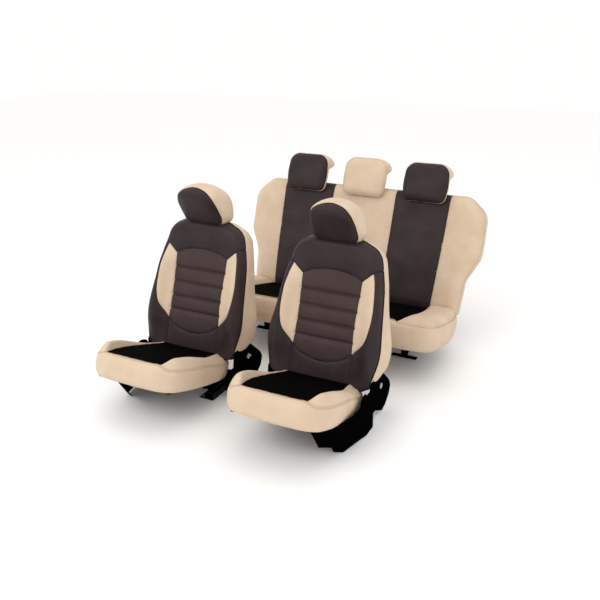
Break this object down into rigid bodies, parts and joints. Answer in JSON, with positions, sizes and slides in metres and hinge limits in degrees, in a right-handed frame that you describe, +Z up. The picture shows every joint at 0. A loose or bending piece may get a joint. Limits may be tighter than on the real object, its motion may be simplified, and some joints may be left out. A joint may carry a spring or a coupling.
{
  "type": "seat cover set",
  "caption": "Two-tone leatherette seat cover set fitted on two front car seats and a rear bench that slide, recline and fold.",
  "frame": {"origin": "on the floor under the middle of the whole set's box", "axes": "+Z up, the seats face -Y, +X is to the right when looking at the front of the seats"},
  "size_m": [1.4276, 1.8203, 1.0001],
  "materials": {
    "dark_leatherette": "satin",
    "beige_leatherette": "satin",
    "black_insert": "matt",
    "piping": "satin",
    "thread": "matt",
    "foam": "open-cell foam",
    "black_steel": "satin black paint",
    "rail_steel": "dark zinc",
    "pin_steel": "zinc",
    "chrome_post": "polished",
    "black_plastic": "grained",
    "elastic": "woven",
    "zip_tape": "woven"
  },
  "bodies": {
    "floor_frame": {"left_lower_rails": "rail_steel", "right_lower_rails": "rail_steel", "bench_base_frame": "black_steel", "bench_hinge_pins": "pin_steel", "bench_cushion_straps": "elastic", "bench_cushion_foam": "foam", "bench_cushion_cover": "beige_leatherette"},
    "left_seat": {"left_upper_rails": "rail_steel", "left_seat_frame": "black_steel", "left_pivot_pins": "pin_steel", "left_cushion_straps": "elastic", "left_side_valance": "black_plastic", "left_cushion_foam": "foam", "left_cushion_cover": "beige_leatherette"},
    "left_backrest": {"left_recliner_arms": "black_steel", "left_backrest_frame": "black_steel", "left_guide_sleeves": "black_plastic", "left_backrest_foam": "foam", "left_backrest_cover": "dark_leatherette", "left_backrest_zip": "zip_tape"},
    "left_headrest": {"left_headrest_posts": "chrome_post", "left_headrest_core": "foam", "left_headrest_cover": "dark_leatherette"},
    "right_seat": {"right_upper_rails": "rail_steel", "right_seat_frame": "black_steel", "right_pivot_pins": "pin_steel", "right_cushion_straps": "elastic", "right_side_valance": "black_plastic", "right_cushion_foam": "foam", "right_cushion_cover": "beige_leatherette"},
    "right_backrest": {"right_recliner_arms": "black_steel", "right_backrest_frame": "black_steel", "right_guide_sleeves": "black_plastic", "right_backrest_foam": "foam", "right_backrest_cover": "dark_leatherette", "right_backrest_zip": "zip_tape"},
    "right_headrest": {"right_headrest_posts": "chrome_post", "right_headrest_core": "foam", "right_headrest_cover": "dark_leatherette"},
    "bench_backrest": {"bench_hinge_arms": "black_steel", "bench_backrest_frame": "black_steel", "bench_guide_sleeves": "black_plastic", "bench_backrest_foam": "foam", "bench_backrest_cover": "dark_leatherette", "bench_backrest_zip": "zip_tape"},
    "bench_headrest_left": {"bench_headrest_posts_left": "chrome_post", "bench_headrest_core_left": "foam", "bench_headrest_cover_left": "dark_leatherette"},
    "bench_headrest_centre": {"bench_headrest_posts_centre": "chrome_post", "bench_headrest_core_centre": "foam", "bench_headrest_cover_centre": "beige_leatherette"},
    "bench_headrest_right": {"bench_headrest_posts_right": "chrome_post", "bench_headrest_core_right": "foam", "bench_headrest_cover_right": "dark_leatherette"}
  },
  "joints": [
    {"name": "left_slide", "type": "slide", "parent": "floor_frame", "child": "left_seat", "axis": [0, -1, 0], "range_m": [-0.08, 0.11]},
    {"name": "left_recline", "type": "hinge", "parent": "left_seat", "child": "left_backrest", "pos_m": [-0.435, -0.3014, 0.16], "axis": [1, 0, 0], "range_deg": [-30, 6]},
    {"name": "left_headrest_lift", "type": "slide", "parent": "left_backrest", "child": "left_headrest", "axis": [0, 0.2982, 0.9545], "range_m": [0, 0.06]},
    {"name": "right_slide", "type": "slide", "parent": "floor_frame", "child": "right_seat", "axis": [0, -1, 0], "range_m": [-0.08, 0.11]},
    {"name": "right_recline", "type": "hinge", "parent": "right_seat", "child": "right_backrest", "pos_m": [0.267, -0.3014, 0.16], "axis": [1, 0, 0], "range_deg": [-30, 6]},
    {"name": "right_headrest_lift", "type": "slide", "parent": "right_backrest", "child": "right_headrest", "axis": [0, 0.2982, 0.9545], "range_m": [0, 0.06]},
    {"name": "bench_fold", "type": "hinge", "parent": "floor_frame", "child": "bench_backrest", "pos_m": [0, 0.62827, 0.22344], "axis": [1, 0, 0], "range_deg": [0, 55]},
    {"name": "bench_headrest_left_lift", "type": "slide", "parent": "bench_backrest", "child": "bench_headrest_left", "axis": [0, 0.3453, 0.9385], "range_m": [0, 0.06]},
    {"name": "bench_headrest_centre_lift", "type": "slide", "parent": "bench_backrest", "child": "bench_headrest_centre", "axis": [0, 0.3453, 0.9385], "range_m": [0, 0.06]},
    {"name": "bench_headrest_right_lift", "type": "slide", "parent": "bench_backrest", "child": "bench_headrest_right", "axis": [0, 0.3453, 0.9385], "range_m": [0, 0.06]}
  ]
}
